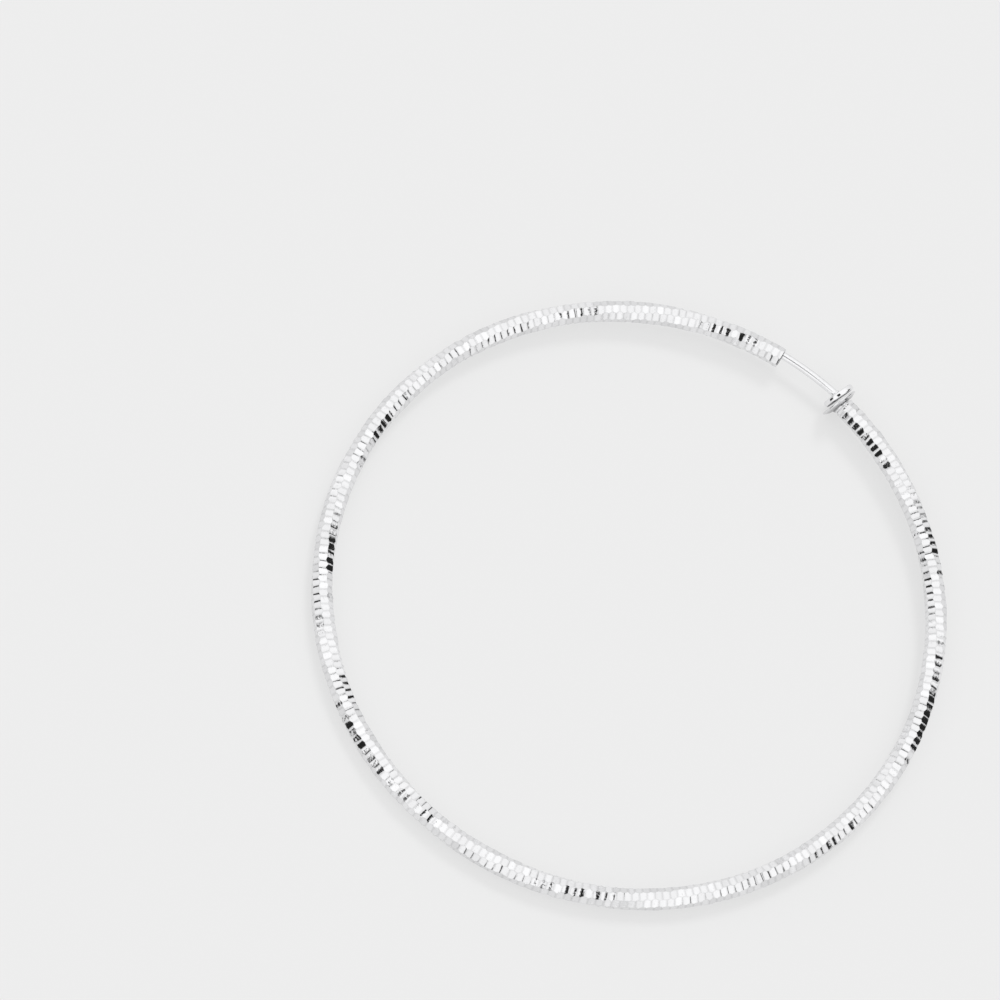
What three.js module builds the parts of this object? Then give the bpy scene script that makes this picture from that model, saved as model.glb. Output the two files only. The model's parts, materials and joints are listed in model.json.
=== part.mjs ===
// Clip-on hoop earring of diamond-cut tube, lying on its side.
// Millimetres, +Z up, with the origin at the bottom centre of its box.
import * as THREE from "three";

// Hoop and its tube
const hoopDiameter = 80; // outside, over the ridges of the tube
const tubeDiameter = 2.7; // from ridge to ridge
const tubeWall = 0.11; // under the middle of a cut
const cutRows = 8; // rows of cuts round the tube, an even number
const rowTwist = 1.4; // turns that the rows make along the tube
const cutPitch = 0.95; // length of one cut along its row, about
const cutDepth = 0.07; // below the flat, in the middle of a cut

// Wire that slides in the tube
const rodDiameter = 1.0;
const rodShownLength = 8.15; // between the open end of the tube and the pad
const rodHiddenLength = 12.0; // inside the tube when the clip is closed

// Pads that hold the ear lobe between them
const rodPadDiameter = 4.3;
const rodPadThickness = 0.82;
const rodPadRound = 0.3; // radius of its rounded rims
const rodPadAside = 0.2; // how much further out than the wire the middle of its pad is
const rodSocketDepth = 0.45; // the wire ends in a blind hole in its pad
const fixedPadDiameter = 5.0;
const fixedPadThickness = 0.6;
const fixedPadRim = 0.3; // thickness of the fixed pad at its edge
const collarDiameter = 2.5;
const collarLength = 0.3;
const spigotLength = 1.2; // the part of the fixed pad that plugs the tube
const padTilt = 8; // degrees that the outer rims of both pads lean towards the fixed pad's side
const padTurn = 9; // degrees that their upper rims lean the same way

// Clearances
const padGap = 0.2; // between the faces of the closed pads
const seatGap = 0.12; // where one piece ends against another
const plugClearance = 0.1; // round the spigot and round the wire in its socket
const rodClearance = 0.1; // between the wire and the outer side of the bore

// Fineness of the round shapes
const boreSides = 12;
const rodSides = 16;
const padSides = 40;
const bendStep = 3; // degrees of the hoop to a straight step

const tubeRadius = tubeDiameter / 2;

// Cuts that take turns move the ridges between them to and fro, by this much at their ends.
const ridgeSway = cutDepth / (2 * Math.sin(Math.PI / cutRows));
const flatRadius = Math.cos(Math.PI / cutRows) * Math.sqrt(tubeRadius ** 2 - ridgeSway ** 2) + cutDepth / 2;

const boreCornerRadius = flatRadius - cutDepth - tubeWall;
const boreRadius = boreCornerRadius * Math.cos(Math.PI / boreSides);
const rodRadius = rodDiameter / 2;
const rodPadRadius = rodPadDiameter / 2;
const fixedPadRadius = fixedPadDiameter / 2;
const centreRadius = hoopDiameter / 2 - tubeRadius;
const tilt = THREE.MathUtils.degToRad(padTilt);
const turn = THREE.MathUtils.degToRad(padTurn);
const wholeTilt = Math.acos(Math.cos(tilt) * Math.cos(turn));

// The wire lies along the outer side of the bore, so it is off the centreline of the tube.
const rodOffset = boreRadius - rodRadius - rodClearance;

// Places along the centreline, clockwise as seen from above, from the plane where the pads meet.
const centreLength = 2 * Math.PI * centreRadius;
const farSide = centreLength / 2;
const tubeStart = padGap / 2 + fixedPadThickness + collarLength + seatGap;
const rodPadBack = centreLength - padGap / 2 - rodPadThickness;
const tubeEnd = rodPadBack - rodShownLength;
const rodStart = tubeEnd - rodHiddenLength;
const rodEnd = rodPadBack + rodSocketDepth - seatGap - rodRadius * Math.sin(wholeTilt);

// The pads reach lower than the tube, so the hoop rests on a pad and on its far side.
const padReach = Math.max(
  fixedPadRadius * Math.cos(turn) + (fixedPadRim / 2) * Math.sin(turn),
  rodPadRadius,
  tubeRadius,
);
const lean = Math.atan2(padReach - tubeRadius, 2 * centreRadius);

function polygon(radius, sides) {
  const corners = [];
  for (let i = 0; i < sides; i++) {
    const angle = (2 * Math.PI * i) / sides;
    corners.push(new THREE.Vector2(radius * Math.cos(angle), radius * Math.sin(angle)));
  }
  return corners;
}

function bendSteps(length) {
  return Math.ceil(length / (centreRadius * THREE.MathUtils.degToRad(bendStep)));
}

// Twists a straight tube along Z, so that a ridge is undermost on the far side of the hoop.
function twistRows(geometry) {
  const points = geometry.attributes.position;
  const turnPerLength = (-2 * Math.PI * rowTwist) / (tubeEnd - tubeStart);
  const point = new THREE.Vector3();
  for (let i = 0; i < points.count; i++) {
    point.fromBufferAttribute(points, i);
    const undermost = -Math.PI / 2;
    point.applyAxisAngle(new THREE.Vector3(0, 0, 1), undermost + turnPerLength * (point.z - farSide));
    points.setXYZ(i, point.x, point.y, point.z);
  }
  return geometry;
}

// Bends a straight piece round the hoop: X becomes outwards, Y up and Z the place along the centreline.
function bendRoundHoop(geometry) {
  const points = geometry.attributes.position;
  for (let i = 0; i < points.count; i++) {
    const radius = centreRadius + points.getX(i);
    const angle = Math.PI / 2 - points.getZ(i) / centreRadius;
    points.setXYZ(i, radius * Math.cos(angle), radius * Math.sin(angle), points.getY(i));
  }
  geometry.computeVertexNormals();
  return geometry;
}

// Turns a profile round the X axis. The pads are drawn with their face at X = 0 and their back at +X.
function turned(profile, arcSteps) {
  return new THREE.LatheGeometry(profile.getPoints(arcSteps), padSides).rotateZ(-Math.PI / 2);
}

// The ridges between the rows, half a cut further on at each step. The rows take turns: while one is
// at the shallow end of a cut, its two neighbours are at the deep middle of theirs.
function cutRing(step) {
  const rowTurn = (2 * Math.PI) / cutRows;
  const corners = [];
  for (let ridge = 0; ridge < cutRows; ridge++) {
    const deepBefore = (step + ridge) % 2 === 0;
    const before = deepBefore ? flatRadius - cutDepth : flatRadius;
    const after = deepBefore ? flatRadius : flatRadius - cutDepth;
    const along = (before + after) / (2 * Math.cos(rowTurn / 2));
    const aside = (after - before) / (2 * Math.sin(rowTurn / 2));
    corners.push(new THREE.Vector2(along, aside).rotateAround(new THREE.Vector2(), ridge * rowTurn));
  }
  return corners;
}

// Joins rings of corners along Z by triangles that face away from the axis, or towards it.
function skin(rings, firstCorner, facesAxis) {
  const triangles = [];
  for (let ring = 0; ring + 1 < rings.length; ring++) {
    const sides = rings[ring].length;
    for (let side = 0; side < sides; side++) {
      const here = firstCorner + ring * sides + side;
      const beside = firstCorner + ring * sides + ((side + 1) % sides);
      const corners = [here, beside, here + sides, beside, beside + sides, here + sides];
      triangles.push(...(facesAxis ? corners.reverse() : corners));
    }
  }
  return triangles;
}

// Fills the end between the cut outside and the bore, seen from the end that it closes.
function mouth(outside, bore, outsideCorner, boreCorner, facesBack) {
  const triangles = [];
  for (const face of THREE.ShapeUtils.triangulateShape(outside, [bore])) {
    const [a, b, c] = face.map((i) => (i < outside.length ? outside[i] : bore[i - outside.length]));
    const leftTurn = b.clone().sub(a).cross(c.clone().sub(a)) > 0;
    const ends = leftTurn === facesBack ? face.reverse() : face;
    triangles.push(...ends.map((i) => (i < outside.length ? outsideCorner + i : boreCorner + i - outside.length)));
  }
  return triangles;
}

function hoopTubeGeometry() {
  const length = tubeEnd - tubeStart;
  const halfCuts = 2 * Math.round(length / cutPitch);
  const boreSteps = bendSteps(length);
  const outside = [];
  for (let step = 0; step <= halfCuts; step++) outside.push(cutRing(step));
  const bore = [];
  for (let step = 0; step <= boreSteps; step++) bore.push(polygon(boreCornerRadius, boreSides));

  const points = [];
  for (const rings of [outside, bore]) {
    rings.forEach((ring, step) => {
      const place = tubeStart + (length * step) / (rings.length - 1);
      for (const corner of ring) points.push(corner.x, corner.y, place);
    });
  }
  const boreStart = outside.length * cutRows;
  const lastOutside = boreStart - cutRows;
  const lastBore = boreStart + boreSteps * boreSides;
  const tube = new THREE.BufferGeometry();
  tube.setAttribute("position", new THREE.Float32BufferAttribute(points, 3));
  tube.setIndex([
    ...skin(outside, 0, false),
    ...skin(bore, boreStart, true),
    ...mouth(outside[0], bore[0], 0, boreStart, true),
    ...mouth(outside[halfCuts], bore[boreSteps], lastOutside, lastBore, false),
  ]);
  return bendRoundHoop(twistRows(tube)).toNonIndexed();
}

function slideRodGeometry() {
  const length = rodEnd - rodStart;
  const rod = new THREE.CylinderGeometry(rodRadius, rodRadius, length, rodSides, bendSteps(length));
  rod.rotateX(Math.PI / 2);
  rod.translate(rodOffset, 0, (rodStart + rodEnd) / 2);
  return bendRoundHoop(rod);
}

function fixedPadGeometry() {
  const edge = fixedPadRim / 2;
  const collarRadius = collarDiameter / 2;
  const spigotRadius = boreRadius - plugClearance;
  const collarBack = fixedPadThickness + collarLength;
  const spigotEnd = collarBack + spigotLength;
  const profile = new THREE.Path();
  profile.moveTo(0, 0);
  profile.lineTo(fixedPadRadius - edge, 0);
  profile.absarc(fixedPadRadius - edge, edge, edge, -Math.PI / 2, Math.PI / 2);
  profile.quadraticCurveTo((fixedPadRadius + collarRadius) / 2, fixedPadThickness, collarRadius, fixedPadThickness);
  profile.lineTo(collarRadius, collarBack);
  profile.lineTo(spigotRadius, collarBack);
  profile.lineTo(spigotRadius, spigotEnd);
  profile.lineTo(0, spigotEnd);
  return tiltDisc(turned(profile, 4));
}

// Tilts the disc of the fixed pad, and leaves the back of its collar and its spigot straight.
function tiltDisc(geometry) {
  const points = geometry.attributes.position;
  const point = new THREE.Vector3();
  for (let i = 0; i < points.count; i++) {
    point.fromBufferAttribute(points, i);
    if (point.x > fixedPadThickness + collarLength / 2) continue;
    point.applyAxisAngle(new THREE.Vector3(0, 0, 1), -tilt);
    point.applyAxisAngle(new THREE.Vector3(0, 1, 0), turn);
    points.setXYZ(i, point.x, point.y, point.z);
  }
  geometry.computeVertexNormals();
  return geometry;
}

function rodPadGeometry() {
  const socketRadius = rodRadius + plugClearance;
  const socketFloor = rodPadThickness - rodSocketDepth;
  const profile = new THREE.Path();
  const rim = rodPadRadius - rodPadRound;
  profile.moveTo(0, 0);
  profile.lineTo(rim, 0);
  profile.absarc(rim, rodPadRound, rodPadRound, -Math.PI / 2, 0);
  profile.absarc(rim, rodPadThickness - rodPadRound, rodPadRound, 0, Math.PI / 2);
  profile.lineTo(socketRadius, rodPadThickness);
  profile.lineTo(socketRadius, socketFloor);
  profile.lineTo(0, socketFloor);
  const geometry = turned(profile, 2);
  const points = geometry.attributes.position;
  for (let i = 0; i < points.count; i++) {
    const radius = Math.hypot(points.getY(i), points.getZ(i));
    if (radius > (socketRadius + rim) / 2) points.setY(i, points.getY(i) - rodPadAside);
  }
  geometry.computeVertexNormals();
  return geometry.translate(rodSocketDepth / 2 - rodPadThickness, 0, 0);
}

function piece(name, geometry, color, roughness) {
  const mesh = new THREE.Mesh(geometry, new THREE.MeshStandardMaterial({ color, roughness, metalness: 1 }));
  mesh.name = name;
  return mesh;
}

const hoopTube = piece("hoop_tube", hoopTubeGeometry(), 0xe4e5e8, 0.16);
const slideRod = piece("slide_rod", slideRodGeometry(), 0xe0e1e4, 0.12);

const fixedPad = piece("fixed_pad", fixedPadGeometry(), 0xe2e3e6, 0.14);
fixedPad.position.set(padGap / 2, centreRadius, 0);

// The pad on the wire tilts about the middle of its socket, which stays on the wire.
const rodPad = piece("rod_pad", rodPadGeometry(), 0xe2e3e6, 0.14);
const socketToFace = padGap / 2 + rodPadThickness - rodSocketDepth / 2;
const socketPlace = (rodOffset * Math.sin(tilt) - socketToFace) / (Math.cos(tilt) * Math.cos(turn));
rodPad.rotation.set(0, turn, Math.PI - tilt);
rodPad.position.set(socketPlace, centreRadius + rodOffset, 0);

const hoop = new THREE.Group();
hoop.add(hoopTube, fixedPad, slideRod, rodPad);
hoop.rotation.x = lean;

const earring = new THREE.Group();
earring.add(hoop);
earring.updateMatrixWorld(true);
const box = new THREE.Box3().setFromObject(earring, true);
const middle = box.getCenter(new THREE.Vector3());
hoop.position.set(-middle.x, -middle.y, -box.min.z);

export default earring;
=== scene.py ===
"""A clip-on hoop earring of diamond-cut silver tube, lying on a pale floor in soft studio light."""
import json
import math

import bpy
from mathutils import Matrix, Vector


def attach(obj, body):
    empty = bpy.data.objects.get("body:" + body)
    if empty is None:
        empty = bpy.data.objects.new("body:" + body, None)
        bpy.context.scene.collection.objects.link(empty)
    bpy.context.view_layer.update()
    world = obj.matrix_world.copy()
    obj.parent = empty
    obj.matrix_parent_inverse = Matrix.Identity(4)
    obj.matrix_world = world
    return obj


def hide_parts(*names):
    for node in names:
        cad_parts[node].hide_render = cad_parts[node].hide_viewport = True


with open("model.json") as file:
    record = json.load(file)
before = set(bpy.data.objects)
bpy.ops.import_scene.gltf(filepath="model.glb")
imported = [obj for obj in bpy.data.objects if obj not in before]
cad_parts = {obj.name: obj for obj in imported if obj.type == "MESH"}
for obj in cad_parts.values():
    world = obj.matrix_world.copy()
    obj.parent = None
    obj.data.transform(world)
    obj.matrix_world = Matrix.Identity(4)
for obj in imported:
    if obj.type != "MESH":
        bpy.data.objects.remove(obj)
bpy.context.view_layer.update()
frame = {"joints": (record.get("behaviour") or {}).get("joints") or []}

MM = 0.001

# The hoop and its tube
HOOP_DIAMETER = 80.0 * MM
TUBE_DIAMETER = 2.7 * MM
CUT_ROWS = 8
ROW_TWIST = 1.4
SKIN = 0.005 * MM  # the fine tube keeps this far inside the coarse one
BORE_RADIUS = 1.09 * MM
CUT_PITCH = 0.95 * MM
CUT_DEPTH = 0.07 * MM
MOUTH_EDGE = 0.05 * MM

# The wire and the two pads
ROD_DIAMETER = 1.0 * MM
ROD_OFFSET = 0.47 * MM
ROD_SHOWN = 8.15 * MM
ROD_HIDDEN = 12.0 * MM
ROD_PAD_DIAMETER = 4.3 * MM
ROD_PAD_THICKNESS = 0.82 * MM
ROD_PAD_ROUND = 0.28 * MM
ROD_PAD_ASIDE = 0.2 * MM
ROD_SOCKET = 0.45 * MM
ROD_IN_PAD = 0.12 * MM
SOLDER = 0.16 * MM
FIXED_PAD_DIAMETER = 5.0 * MM
FIXED_PAD_THICKNESS = 0.6 * MM
FIXED_PAD_RIM = 0.3 * MM
COLLAR_DIAMETER = 2.5 * MM
COLLAR_LENGTH = 0.3 * MM
COLLAR_FOOT = 0.06 * MM
COLLAR_ROUND = 0.08 * MM
PLUG_LENGTH = 1.0 * MM
PLUG_CLEARANCE = 0.1 * MM
PAD_GAP = 0.2 * MM
SEAT_GAP = 0.12 * MM
PAD_TILT = math.radians(8)
PAD_TURN = math.radians(9)

CENTRE_RADIUS = (HOOP_DIAMETER - TUBE_DIAMETER) / 2
CENTRE_LENGTH = 2 * math.pi * CENTRE_RADIUS

# Places along the centreline, clockwise from above, from the plane where the pads meet
TUBE_START = PAD_GAP / 2 + FIXED_PAD_THICKNESS + COLLAR_LENGTH + SEAT_GAP
ROD_PAD_BACK = CENTRE_LENGTH - PAD_GAP / 2 - ROD_PAD_THICKNESS
TUBE_END = ROD_PAD_BACK - ROD_SHOWN

# The hoop's own frame: its centre, and X across the clip, Y towards it and Z along its axis
wire_slide = next(joint for joint in frame["joints"] if joint["name"] == "wire_slide")
HOOP_CENTRE = Vector(wire_slide["pos_m"])
HOOP_AXIS = Vector(wire_slide["axis"]).normalized()
LEAN = math.atan2(-HOOP_AXIS.y, HOOP_AXIS.z)
HOOP_FRAME = Matrix.Translation(HOOP_CENTRE) @ Matrix.Rotation(LEAN, 4, "X")


class Wire:
    """An output of a node. Sums and comparisons on it add Math nodes to its tree."""

    def __init__(self, tree, socket):
        self.tree = tree
        self.socket = socket

    def maths(self, operation, *values):
        sockets = dict(enumerate(values))
        return self.tree.node("ShaderNodeMath", {"operation": operation}, sockets)

    def __add__(self, other):
        return self.maths("ADD", self, other)

    def __radd__(self, other):
        return self.maths("ADD", other, self)

    def __sub__(self, other):
        return self.maths("SUBTRACT", self, other)

    def __rsub__(self, other):
        return self.maths("SUBTRACT", other, self)

    def __mul__(self, other):
        return self.maths("MULTIPLY", self, other)

    def __rmul__(self, other):
        return self.maths("MULTIPLY", other, self)

    def __truediv__(self, other):
        return self.maths("DIVIDE", self, other)

    def __rtruediv__(self, other):
        return self.maths("DIVIDE", other, self)

    def floor(self):
        return self.maths("FLOOR", self)

    def part(self):
        return self.maths("FRACT", self)

    def modulo(self, other):
        return self.maths("FLOORED_MODULO", self, other)

    def sin(self):
        return self.maths("SINE", self)

    def cos(self):
        return self.maths("COSINE", self)

    def at_least(self, other):
        return self.maths("MAXIMUM", self, other)

    def at_most(self, other):
        return self.maths("MINIMUM", self, other)

    def size(self):
        return self.maths("ABSOLUTE", self)

    def near(self, other):
        return self.maths("COMPARE", self, other, 0.5)

    def ramp(self, low, high, start=0.0, end=1.0):
        """start below low, end above high, and a soft step between them."""
        return self.tree.node(
            "ShaderNodeMapRange",
            {"interpolation_type": "SMOOTHSTEP"},
            {"Value": self, "From Min": low, "From Max": high, "To Min": start, "To Max": end},
        )


class Tree:
    """A node tree, and the one method that adds a node to it."""

    def __init__(self, tree):
        self.tree = tree
        tree.nodes.clear()

    def node(self, kind, settings=None, sockets=None, output=0):
        made = self.tree.nodes.new(kind)
        for name, value in (settings or {}).items():
            setattr(made, name, value)
        for name, value in (sockets or {}).items():
            if isinstance(value, Wire):
                self.tree.links.new(value.socket, made.inputs[name])
            elif value is not None:
                made.inputs[name].default_value = value
        if not made.outputs:
            return made
        return Wire(self, made.outputs[output])


def finished(name, mesh, material, body, replaced):
    """Links a mesh as a piece at the origin, attaches it to its body and hides the solid it stands for.
    """
    piece = bpy.data.objects.new(name, mesh)
    bpy.context.scene.collection.objects.link(piece)
    if not mesh.materials:
        mesh.materials.append(material)
    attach(piece, body)
    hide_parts(replaced)
    return piece


# The cut tube


def tube_inputs(tree, sizes):
    """Gives the tree its named inputs and returns them as wires."""
    face = tree.tree.interface
    face.new_socket("Geometry", in_out="INPUT", socket_type="NodeSocketGeometry")
    for name, value in sizes.items():
        whole = isinstance(value, int)
        socket = face.new_socket(
            name, in_out="INPUT", socket_type="NodeSocketInt" if whole else "NodeSocketFloat"
        )
        socket.default_value = value
    face.new_socket("Geometry", in_out="OUTPUT", socket_type="NodeSocketGeometry")
    group = tree.tree.nodes.new("NodeGroupInput")
    return {name: Wire(tree, group.outputs[name]) for name in sizes}


def tube_tree(material, sizes):
    """The node tree that makes the tube: rows of flats, each cut across with shallow hollows.

    Two grids are rolled up into the outside with its two ends, and the bore. Each row's cut is
    straight across, so the ridge between two rows lies where their two straight lines meet.
    """
    group = bpy.data.node_groups.new("diamond cut tube", "GeometryNodeTree")
    tree = Tree(group)
    size = tube_inputs(tree, sizes)
    index = tree.node("GeometryNodeInputIndex")
    around = size["Rows"] * size["Points to a row"]
    row_turn = 2 * math.pi / size["Rows"]
    column = ((index + 0.5) / (around + 1)).floor()
    spot = index - column * (around + 1)

    def turned_by(place):
        """How far the rows have turned round the tube at a place, from undermost at the far side."""
        twist = (place - size["Far side"]) * size["Twist"]
        return twist - math.pi / 2

    def bent(x, y, place):
        """Bends a point of the straight tube round the hoop."""
        reach = size["Centre radius"] + x
        angle = math.pi / 2 - place / size["Centre radius"]
        return tree.node(
            "ShaderNodeCombineXYZ", None, {"X": reach * angle.cos(), "Y": reach * angle.sin(), "Z": y}
        )

    def cut(row, place):
        """How far a row's cut lies from the centreline at a place, and which way it faces."""
        step = place / size["Pitch"] + row.modulo(2) * 0.5
        cell = step.floor()
        across = (step - cell) * 2 - 1
        same_row = row.modulo(size["Rows"])
        seed = tree.node("ShaderNodeCombineXYZ", None, {"X": cell, "Y": same_row, "Z": size["Seed"]})
        noise = {"noise_dimensions": "3D"}
        chance = tree.node("ShaderNodeTexWhiteNoise", noise, {"Vector": seed}, output=0)
        moved = tree.node("ShaderNodeVectorMath", {"operation": "ADD"}, {0: seed, 1: (0.5, 0.5, 0.5)})
        other = tree.node("ShaderNodeTexWhiteNoise", noise, {"Vector": moved}, output=0)
        squared = across * across
        hollow = (1 - squared) * (1 + squared * size["Steep ends"])
        lopsided = 1 + across * (other - 0.5) * size["Uneven side"]
        depth = size["Cut depth"] * (1 + (chance - 0.5) * size["Uneven depth"])
        tilt = ((chance * 7 + other * 3).part() - 0.5) * size["Uneven tilt"] * (1 - squared)
        return size["Flat radius"] - depth * hollow * lopsided, (row + 0.5) * row_turn + tilt

    def ridge(first, second):
        """Where the straight lines of two rows' cuts meet."""
        (near, near_angle), (far, far_angle) = first, second
        spread = (far_angle - near_angle).sin()
        x = (near * far_angle.sin() - far * near_angle.sin()) / spread
        y = (far * near_angle.cos() - near * far_angle.cos()) / spread
        return x, y

    # The outside. Its first and last columns are the rims of the bore, the next ones the mouth's edge
    last = size["Cuts"] * size["Points to a cut"] + 4
    place = (column - 2) * (size["Pitch"] / size["Points to a cut"])
    row = ((spot + 0.25) / size["Points to a row"]).floor()
    share = spot / size["Points to a row"] - row
    here = cut(row, place)
    near_x, near_y = ridge(cut(row - 1, place), here)
    far_x, far_y = ridge(here, cut(row + 1, place))
    x = near_x + (far_x - near_x) * share
    y = near_y + (far_y - near_y) * share
    on_edge = column.near(1).at_least(column.near(last - 1))
    on_bore = column.near(0).at_least(column.near(last))
    shrink = 1 - on_edge * (size["Edge"] / size["Flat radius"])
    ring_angle = spot * (2 * math.pi / around)
    outside = 1 - on_bore
    x = x * shrink * outside + ring_angle.cos() * size["Bore radius"] * on_bore
    y = y * shrink * outside + ring_angle.sin() * size["Bore radius"] * on_bore
    place = (size["Start"] + size["Edge"] + place).at_least(size["Start"]).at_most(size["End"])
    turn = turned_by(place)
    skin = bent(x * turn.cos() - y * turn.sin(), x * turn.sin() + y * turn.cos(), place)
    grid = tree.node(
        "GeometryNodeMeshGrid",
        None,
        {"Size X": 1.0, "Size Y": 1.0, "Vertices X": last + 1, "Vertices Y": around + 1},
    )
    outer = tree.node("GeometryNodeSetPosition", None, {"Geometry": grid, "Position": skin})
    cells = tree.node(
        "ShaderNodeCombineXYZ",
        None,
        {"X": (column - 2) / size["Points to a cut"], "Y": spot / size["Points to a row"]},
    )
    outer = tree.node(
        "GeometryNodeStoreNamedAttribute",
        {"data_type": "FLOAT_VECTOR", "domain": "POINT"},
        {"Geometry": outer, "Name": "cell of a point", "Value": cells},
    )
    cells = tree.node(
        "GeometryNodeInputNamedAttribute", {"data_type": "FLOAT_VECTOR"}, {"Name": "cell of a point"}
    )
    outer = tree.node(
        "GeometryNodeStoreNamedAttribute",
        {"data_type": "FLOAT2", "domain": "CORNER"},
        {"Geometry": outer, "Name": "cells", "Value": cells},
    )

    # The bore
    place = size["Start"] + (size["End"] - size["Start"]) * (column / size["Bore steps"])
    turn = turned_by(place) + ring_angle
    lining = bent(turn.cos() * size["Bore radius"], turn.sin() * size["Bore radius"], place)
    grid = tree.node(
        "GeometryNodeMeshGrid",
        None,
        {"Size X": 1.0, "Size Y": 1.0, "Vertices X": size["Bore steps"] + 1, "Vertices Y": around + 1},
    )
    bore = tree.node("GeometryNodeSetPosition", None, {"Geometry": grid, "Position": lining})
    bore = tree.node("GeometryNodeFlipFaces", None, {"Mesh": bore})

    join = tree.tree.nodes.new("GeometryNodeJoinGeometry")
    tree.tree.links.new(bore.socket, join.inputs[0])
    tree.tree.links.new(outer.socket, join.inputs[0])
    joined = Wire(tree, join.outputs[0])
    welded = tree.node(
        "GeometryNodeMergeByDistance", None, {"Geometry": joined, "Distance": 0.001 * MM}
    )
    placed = tree.node(
        "GeometryNodeTransform",
        None,
        {"Geometry": welded, "Translation": HOOP_CENTRE, "Rotation": (LEAN, 0, 0)},
    )
    smooth = tree.node("GeometryNodeSetShadeSmooth", None, {"Geometry": placed, "Shade Smooth": True})
    bend_angle = tree.node("GeometryNodeInputMeshEdgeAngle")
    crease = bend_angle.maths("GREATER_THAN", bend_angle, size["Crease"])
    creased = tree.node(
        "GeometryNodeSetShadeSmooth",
        {"domain": "EDGE"},
        {"Geometry": smooth, "Selection": crease, "Shade Smooth": False},
    )
    real = tree.node("GeometryNodeRealizeInstances", None, {"Geometry": creased})
    coated = tree.node("GeometryNodeSetMaterial", None, {"Geometry": real, "Material": material})
    tree.node("NodeGroupOutput", None, {0: coated})
    return group


def diamond_cut_tube(material):
    """The hoop's tube, cut all over with eight rows of small hollows."""
    length = TUBE_END - TUBE_START
    cuts = round((length - 2 * MOUTH_EDGE) / CUT_PITCH)
    ridge_sway = CUT_DEPTH / (2 * math.sin(math.pi / CUT_ROWS))
    ridge_along = math.sqrt((TUBE_DIAMETER / 2 - SKIN) ** 2 - ridge_sway**2)
    sizes = {
        "Rows": CUT_ROWS,
        "Points to a row": 2,
        "Cuts": cuts,
        "Points to a cut": 14,
        "Bore steps": 120,
        "Seed": 7,
        "Pitch": (length - 2 * MOUTH_EDGE) / cuts,
        "Cut depth": CUT_DEPTH,
        "Steep ends": 0.5,
        "Uneven depth": 0.7,
        "Uneven side": 1.0,
        "Uneven tilt": math.radians(14),
        "Flat radius": math.cos(math.pi / CUT_ROWS) * ridge_along + CUT_DEPTH / 2,
        "Bore radius": BORE_RADIUS,
        "Centre radius": CENTRE_RADIUS,
        "Start": TUBE_START,
        "End": TUBE_END,
        "Far side": CENTRE_LENGTH / 2,
        "Twist": -2 * math.pi * ROW_TWIST / length,
        "Edge": MOUTH_EDGE,
        "Crease": math.radians(12),
    }
    holder = bpy.data.objects.new("tube being cut", bpy.data.meshes.new("tube being cut"))
    bpy.context.scene.collection.objects.link(holder)
    maker = holder.modifiers.new("cut", "NODES")
    maker.node_group = tube_tree(material, sizes)
    graph = bpy.context.evaluated_depsgraph_get()
    mesh = bpy.data.meshes.new_from_object(
        holder.evaluated_get(graph), preserve_all_data_layers=True, depsgraph=graph
    )
    mesh.name = "cut_tube"
    bpy.data.objects.remove(holder)
    return finished("cut_tube", mesh, material, "hoop", "hoop_tube")


# The turned pads and the wire


def round_corner(radius, place, bend, first, last, steps=6):
    """Points of an arc of a profile, from one angle to another in degrees, 0 pointing outwards."""
    points = []
    for step in range(steps + 1):
        angle = math.radians(first + (last - first) * step / steps)
        points.append((radius + bend * math.cos(angle), place + bend * math.sin(angle)))
    return points


def revolved(name, profile, place_point, sides, seam=0.0):
    """A closed mesh of rings round an axis, from a profile of (radius, place) between two axis points.

    Its attribute past_seam is how many millimetres further out than the seam each point is, and
    outwards is 1 on the side away from the hoop's centre and -1 on the side towards it.
    """
    points = []
    past_seam = []
    outwards = []
    rings = []
    for radius, place in profile:
        count = 1 if radius == 0 else sides
        rings.append(range(len(points), len(points) + count))
        for side in range(count):
            angle = 2 * math.pi * side / sides
            points.append(place_point(radius * math.cos(angle), radius * math.sin(angle), place))
            past_seam.append((radius - seam) / MM)
            outwards.append(math.cos(angle))
    faces = []
    for lower, upper in zip(rings, rings[1:]):
        for side in range(sides):
            after = (side + 1) % sides
            corners = [lower[side % len(lower)], lower[after % len(lower)]]
            corners += [upper[after % len(upper)], upper[side % len(upper)]]
            face = list(dict.fromkeys(corners))
            if len(face) > 2:
                faces.append(face)
    mesh = bpy.data.meshes.new(name)
    mesh.from_pydata(points, [], faces)
    mesh.attributes.new("past_seam", "FLOAT", "POINT").data.foreach_set("value", past_seam)
    mesh.attributes.new("outwards", "FLOAT", "POINT").data.foreach_set("value", outwards)
    mesh.shade_smooth()
    mesh.set_sharp_from_angle(angle=math.radians(32))
    return mesh


def on_clip(x, y, place):
    """A point near the clip, as far outwards, up the hoop's axis and along the straight tangent."""
    return HOOP_FRAME @ Vector((place, CENTRE_RADIUS + x, y))


def round_hoop(x, y, place):
    """A point of a piece that follows the hoop's centreline."""
    angle = math.pi / 2 - place / CENTRE_RADIUS
    reach = CENTRE_RADIUS + x
    return HOOP_FRAME @ Vector((reach * math.cos(angle), reach * math.sin(angle), y))


def tilted(x, y, place):
    """Turns a point of a pad so that its outer and upper rims lean towards the fixed pad's side."""
    cosine, sine = math.cos(PAD_TILT), math.sin(PAD_TILT)
    x, place = x * cosine - place * sine, place * cosine + x * sine
    cosine, sine = math.cos(PAD_TURN), math.sin(PAD_TURN)
    return x, y * cosine - place * sine, place * cosine + y * sine


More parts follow.
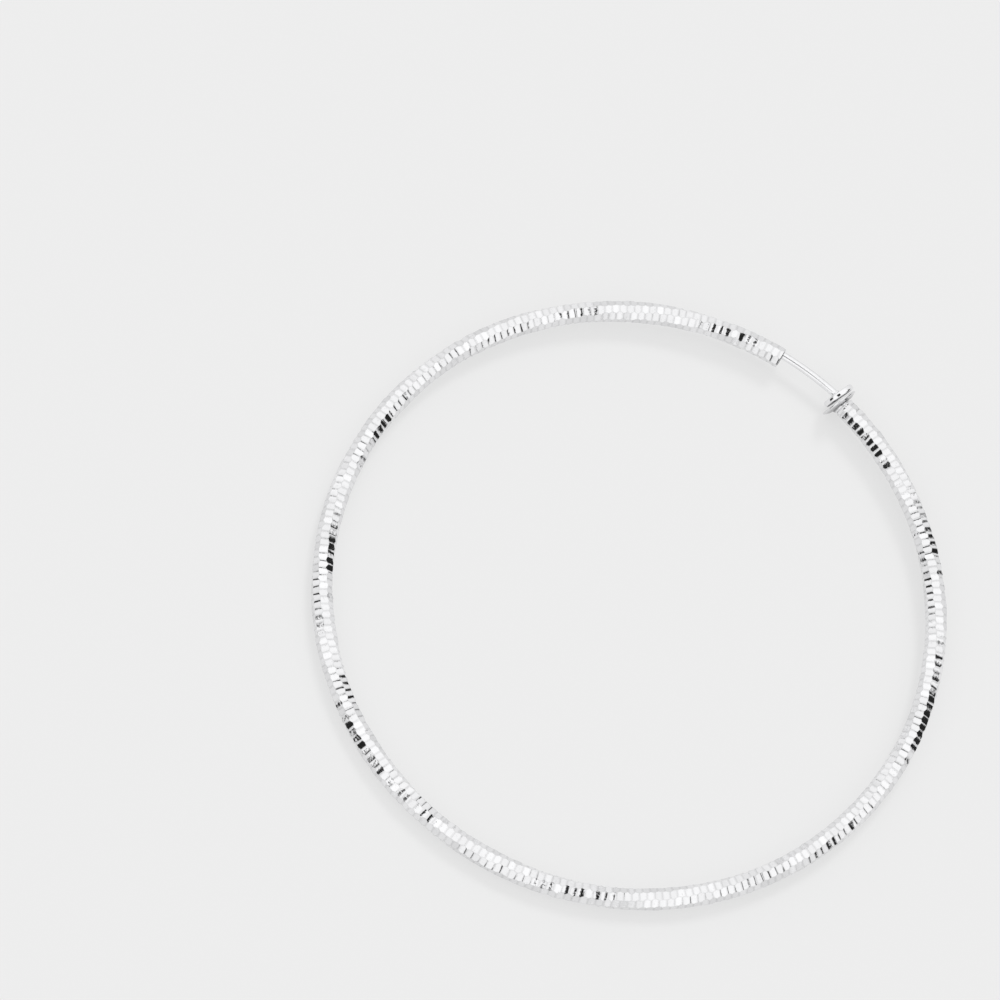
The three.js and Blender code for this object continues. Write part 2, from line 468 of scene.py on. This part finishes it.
def fixed_pad(material):
    """The larger pad: a thin disc with a full round rim, a low dome behind and a collar at the tube."""
    edge = FIXED_PAD_RIM / 2
    radius = FIXED_PAD_DIAMETER / 2
    collar = COLLAR_DIAMETER / 2
    seat = FIXED_PAD_THICKNESS + COLLAR_LENGTH
    profile = [(0, 0), (radius * 0.5, 0)]
    profile += round_corner(radius - edge, edge, edge, -90, 90, 12)
    dome_steps = 8
    rise = FIXED_PAD_THICKNESS - 2 * edge
    for step in range(1, dome_steps + 1):
        share = step / dome_steps
        out = (radius - edge) + (collar + COLLAR_FOOT - radius + edge) * share
        profile.append((out, 2 * edge + rise * math.sin(share * math.pi / 2)))
    profile += round_corner(collar - COLLAR_ROUND, seat - COLLAR_ROUND, COLLAR_ROUND, 0, 90, 4)
    plug = BORE_RADIUS - PLUG_CLEARANCE
    profile += [(plug, seat), (plug, seat + PLUG_LENGTH), (0, seat + PLUG_LENGTH)]
    disc_end = FIXED_PAD_THICKNESS + COLLAR_LENGTH * 0.4

    def placed(x, y, place):
        if place < disc_end:
            x, y, place = tilted(x, y, place)
        return on_clip(x, y, place + PAD_GAP / 2)

    mesh = revolved("clip_pad", profile[::-1], placed, 96, collar)
    return finished("clip_pad", mesh, material, "hoop", "fixed_pad")


def rod_pad(material):
    """The smaller pad: a thick disc with rounded rims, on the end of the wire.

    It tilts about the middle of its socket, and the middle of its disc is further out than the wire.
    """
    radius = ROD_PAD_DIAMETER / 2
    bend = ROD_PAD_ROUND
    to_face = ROD_PAD_THICKNESS - ROD_SOCKET / 2
    back = -ROD_SOCKET / 2
    profile = [(0, to_face), (radius * 0.5, to_face)]
    profile += round_corner(radius - bend, to_face - bend, bend, 90, 0, 8)
    profile += round_corner(radius - bend, back + bend, bend, 0, -84, 8)
    profile += [(radius * 0.5, back), (0, back)]
    middle = ROD_OFFSET * math.sin(PAD_TILT) - to_face - PAD_GAP / 2
    middle /= math.cos(PAD_TILT) * math.cos(PAD_TURN)

    def placed(x, y, place):
        x, y, place = tilted(x + ROD_PAD_ASIDE, y, place)
        return on_clip(x + ROD_OFFSET, y, place + middle)

    mesh = revolved("wire_pad", profile, placed, 96, ROD_DIAMETER / 2)
    return finished("wire_pad", mesh, material, "slide", "rod_pad")


def slide_rod(material):
    """The bent wire, with a little solder where it meets its pad and a round inner end."""
    radius = ROD_DIAMETER / 2
    start = TUBE_END - ROD_HIDDEN
    end = ROD_PAD_BACK + ROD_IN_PAD
    profile = [(0, start)] + round_corner(0, start + radius, radius, -80, 0, 8)
    steps = 60
    for step in range(1, steps):
        profile.append((radius, start + radius + (ROD_PAD_BACK - SOLDER - start - radius) * step / steps))
    profile += round_corner(radius + SOLDER, ROD_PAD_BACK - SOLDER, SOLDER, 180, 100, 6)
    profile.append((radius + SOLDER * 0.8, end))
    profile.append((0, end))

    def off_centre(x, y, place):
        return round_hoop(x + ROD_OFFSET, y, place)

    mesh = revolved("wire", profile, off_centre, 48)
    return finished("wire", mesh, material, "slide", "slide_rod")


# Finishes


def noise(tree, place, scale, detail=2.0):
    sockets = {"Vector": place, "Scale": scale, "Detail": detail}
    return tree.node("ShaderNodeTexNoise", None, sockets)


def silver(name, colour, roughness, finish):
    """Bright silver. The finish adds its own marks and returns (shade, extra roughness, height)."""
    material = bpy.data.materials.new(name)
    material.use_nodes = True
    tree = Tree(material.node_tree)
    place = tree.node("ShaderNodeTexCoord", output=3)
    shade, duller, height = finish(tree, place)
    clouds = noise(tree, place, 420.0, 3.0)
    tone = shade * clouds.ramp(0.3, 0.75, 1.0, 0.97)
    grey = tree.node("ShaderNodeCombineColor", None, {0: tone, 1: tone, 2: tone})
    tinted = {"data_type": "RGBA", "blend_type": "MULTIPLY"}
    sockets = {"Factor": 1.0, 6: (*colour, 1), 7: grey}
    base = tree.node("ShaderNodeMix", tinted, sockets, output=2)
    rough = roughness + clouds.ramp(0.35, 0.8) * 0.04 + duller
    marks = tree.node("ShaderNodeBump", None, {"Strength": 1.0, "Distance": MM, "Height": height})
    sockets = {"Base Color": base, "Metallic": 1.0, "Roughness": rough, "Normal": marks}
    shader = tree.node("ShaderNodeBsdfPrincipled", None, sockets)
    tree.node("ShaderNodeOutputMaterial", None, {"Surface": shader})
    return material


def diamond_cut_finish(tree, place):
    """Each cell is bright, with faint cutter lines across it and a duller edge all round, darkened with
    painted shade.
    """
    cells = tree.node("ShaderNodeUVMap", {"uv_map": "cells"})
    parts = tree.tree.nodes.new("ShaderNodeSeparateXYZ")
    tree.tree.links.new(cells.socket, parts.inputs[0])
    along = Wire(tree, parts.outputs["X"])
    around = Wire(tree, parts.outputs["Y"])
    row = around.floor()
    step = along + row.modulo(2) * 0.5
    cell = step.floor()
    wander = (noise(tree, place, 2600.0) - 0.5) * 0.3
    to_end = ((step - cell) * 2 - 1).size() + wander
    to_ridge = ((around - row) * 2 - 1).size() + wander
    # painted shade: darker towards each cell's ends and the ridges between rows, where the cells also get
    # duller
    worn_and_shaded_edge = to_end.ramp(0.5, 0.95).at_least(to_ridge.ramp(0.76, 1.0))
    seed = tree.node("ShaderNodeCombineXYZ", None, {"X": cell, "Y": row, "Z": 3.0})
    chance = tree.node("ShaderNodeTexWhiteNoise", {"noise_dimensions": "3D"}, {"Vector": seed})
    pits = noise(tree, place, 3400.0).ramp(0.6, 0.75)
    shade = (1 - worn_and_shaded_edge * 0.13) * (1 - chance * 0.12) * (1 - pits * 0.1)
    lines = (along * (2 * math.pi * 9) + wander * 8).sin()
    height = noise(tree, place, 2600.0) * 0.02 + lines * 0.0003
    return shade, worn_and_shaded_edge * 0.14, height


def polished_finish(tree, place):
    """Hand polish: soft waviness, a few fine scratches, and painted shade round the corner at a seam,
    where it is also a little duller.
    """
    past_seam = tree.node("ShaderNodeAttribute", {"attribute_name": "past_seam"}, output=2)
    # painted shade: darker and a little duller from just past the seam to about 1.6 mm out, where a pad
    # meets its collar or its wire
    dull_shaded_corner = past_seam.ramp(0.0, 0.05) * past_seam.ramp(0.3, 1.6, 1.0, 0.0)
    scratch = noise(tree, place, 1500.0).ramp(0.62, 0.7)
    height = noise(tree, place, 900.0) * 0.004
    shade = (1 - scratch * 0.05) * (1 - dull_shaded_corner * 0.65)
    return shade, scratch * 0.04 + dull_shaded_corner * 0.1, height


def drawn_finish(tree, place):
    """Drawn wire: fine waviness along it, and an outer side that is duller and darker with painted shade.
    """
    outwards = tree.node("ShaderNodeAttribute", {"attribute_name": "outwards"}, output=2)
    streak = noise(tree, place, 2200.0).ramp(0.5, 0.75)
    # painted shade: the side of the wire away from the hoop's centre is darker and duller
    dull_shaded_outer_side = (outwards + (streak - 0.5) * 0.1).ramp(0.5, 0.95)
    height = noise(tree, place, 1400.0) * 0.002
    return (1 - streak * 0.06) * (1 - dull_shaded_outer_side * 0.3), streak * 0.05 + dull_shaded_outer_side * 0.1, height


# The studio

# How the photograph sees the hoop: its axis, its long way across, and the clip's angle from that way
AXIS_SEEN = Vector((0.158, 0.325, 0.9325)).normalized()
LONG_WAY = math.radians(-25.94)
CLIP_ANGLE = math.radians(71.0)
ROOM_LIGHT = 0.9
OVERHEAD_LIGHT = 1.09
OVERHEAD_INNER = 45
OVERHEAD_OUTER = 88
CAMERA_DARK_INNER = 11
CAMERA_DARK_OUTER = 14
DARK_FULL_BELOW = 0.42
DARK_NONE_ABOVE = 0.54
RIGHT_DARK_WIDTH = 0.44
LEFT_DARK_WIDTH = 0.32
DARK_EDGE = 0.08
KEY_LIGHT = 1.2
KEY_SPREAD = math.radians(18)
KEY_REACH = 0.85
FLOOR_TONE = 0.18
FLOOR_GLOW = 0.625
LENS = 180.0
SENSOR = 36.0
IMAGE = 1000
HOOP_PIXEL = (631.15, 599.2)
HOOP_PIXELS_TO_A_METRE = 310.5 / CENTRE_RADIUS


def camera_turn():
    """The camera's axes in the world, as the columns of a matrix, for a view straight at the hoop."""
    long_way = Vector((math.cos(LONG_WAY), math.sin(LONG_WAY), 0))
    clip = Matrix.Rotation(CLIP_ANGLE, 3, AXIS_SEEN) @ long_way
    across = clip.cross(AXIS_SEEN)
    seen = Matrix((across, clip, AXIS_SEEN))
    world = Matrix((HOOP_FRAME.col[0].xyz, HOOP_FRAME.col[1].xyz, HOOP_FRAME.col[2].xyz)).transposed()
    return world @ seen


def add_camera():
    data = bpy.data.cameras.new("camera")
    data.lens = LENS
    data.sensor_width = SENSOR
    camera = bpy.data.objects.new("camera", data)
    bpy.context.scene.collection.objects.link(camera)
    straight = camera_turn()
    away = LENS / SENSOR * IMAGE / HOOP_PIXELS_TO_A_METRE
    side = (HOOP_PIXEL[0] - IMAGE / 2) / IMAGE * SENSOR / LENS
    up = -(HOOP_PIXEL[1] - IMAGE / 2) / IMAGE * SENSOR / LENS
    aim = Vector((side, up, -1)).rotation_difference(Vector((0, 0, -1)))
    turn = straight @ aim.to_matrix()
    camera.matrix_world = (
        Matrix.Translation(HOOP_CENTRE + straight @ Vector((0, 0, away))) @ turn.to_4x4()
    )
    data.clip_start = 0.01
    data.clip_end = 20
    bpy.context.scene.camera = camera
    return camera


def add_floor():
    """A pale sheet lit from below as well, so that shadows on it are faint."""
    mesh = bpy.data.meshes.new("floor")
    half = 1.5
    corners = [(-half, -half, 0), (half, -half, 0), (half, half, 0), (-half, half, 0)]
    mesh.from_pydata(corners, [], [(0, 1, 2, 3)])
    floor = bpy.data.objects.new("floor", mesh)
    bpy.context.scene.collection.objects.link(floor)
    material = bpy.data.materials.new("pale floor")
    material.use_nodes = True
    tree = Tree(material.node_tree)
    sockets = {
        "Base Color": (FLOOR_TONE, FLOOR_TONE, FLOOR_TONE, 1),
        "Roughness": 0.8,
        "Specular IOR Level": 0.0,
        "Emission Color": (1, 1, 1, 1),
        "Emission Strength": FLOOR_GLOW,
    }
    shader = tree.node("ShaderNodeBsdfPrincipled", None, sockets)
    tree.node("ShaderNodeOutputMaterial", None, {"Surface": shader})
    mesh.materials.append(material)


def add_surround(camera):
    """A pale room with a big soft light overhead, and the dark things that the silver shows.

    Those are the place round the camera, and the open sides of the set at left and right.
    """
    world = bpy.data.worlds.new("pale room")
    bpy.context.scene.world = world
    world.use_nodes = True
    tree = Tree(world.node_tree)
    ray = tree.node("ShaderNodeTexCoord", output=0)

    def facing(direction):
        vector = {"operation": "DOT_PRODUCT"}
        return tree.node("ShaderNodeVectorMath", vector, {0: ray, 1: direction.normalized()}, output=1)

    def within(direction, inner, outer, uneven=0.0):
        """1 within the inner angle of a direction, 0 beyond the outer one."""
        near, far = math.cos(math.radians(inner)), math.cos(math.radians(outer))
        return (facing(direction) + uneven).ramp(far, near)

    def side_on(direction, width):
        """1 in an upright strip of the surround that has the direction in its middle."""
        across = facing(Vector((-direction.y, direction.x, 0))).size()
        return across.ramp(width, width + DARK_EDGE, 1.0, 0.0) * facing(direction).ramp(0.0, 0.1)

    def level(direction):
        return Vector((direction.x, direction.y, 0)).normalized()

    turn = camera.matrix_world.to_3x3()
    to_camera = camera.matrix_world.translation - HOOP_CENTRE
    right = level(turn @ Vector((1, 0, 0)))
    back = level(turn @ Vector((0, 1, 0)))
    clutter = (noise(tree, ray, 7.0) - 0.5) * 0.25
    low = (facing(Vector((0, 0, 1))) + clutter).ramp(DARK_FULL_BELOW, DARK_NONE_ABOVE, 1.0, 0.0)
    left = -right - back * 0.3
    sides = side_on(right, RIGHT_DARK_WIDTH).at_least(side_on(left, LEFT_DARK_WIDTH))
    behind_camera = within(to_camera, CAMERA_DARK_INNER, CAMERA_DARK_OUTER, clutter * 0.3)
    dark = behind_camera.at_least(sides * low)
    overhead = within(to_camera.normalized() + Vector((0, 0, 1)), OVERHEAD_INNER, OVERHEAD_OUTER)
    strength = (1 - dark) * (ROOM_LIGHT + overhead * (OVERHEAD_LIGHT - ROOM_LIGHT)) + 0.02
    shader = tree.node("ShaderNodeBackground", None, {"Color": (1, 1, 1, 1), "Strength": strength})
    tree.node("ShaderNodeOutputWorld", None, {"Surface": shader})


def add_key(camera):
    """The key light stands behind the hoop at the right, so soft shadows fall to the lower left."""
    data = bpy.data.lights.new("key", "SUN")
    data.energy = KEY_LIGHT
    data.angle = KEY_SPREAD
    key = bpy.data.objects.new("key", data)
    key.visible_glossy = False
    bpy.context.scene.collection.objects.link(key)
    turn = camera.matrix_world.to_3x3()
    behind = turn @ Vector((0.5, 1, 0))
    behind.z = 0
    towards = behind.normalized() * KEY_REACH + Vector((0, 0, 1))
    key.rotation_mode = "QUATERNION"
    key.rotation_quaternion = towards.to_track_quat("Z", "Y")


cut_silver = silver("diamond cut silver", (0.91, 0.91, 0.92), 0.06, diamond_cut_finish)
pad_silver = silver("polished silver", (0.88, 0.88, 0.89), 0.07, polished_finish)
wire_silver = silver("drawn silver wire", (0.88, 0.88, 0.89), 0.16, drawn_finish)

diamond_cut_tube(cut_silver)
fixed_pad(pad_silver)
rod_pad(pad_silver)
slide_rod(wire_silver)

camera = add_camera()
add_floor()
add_surround(camera)
add_key(camera)
bpy.context.scene.view_settings.view_transform = "Standard"
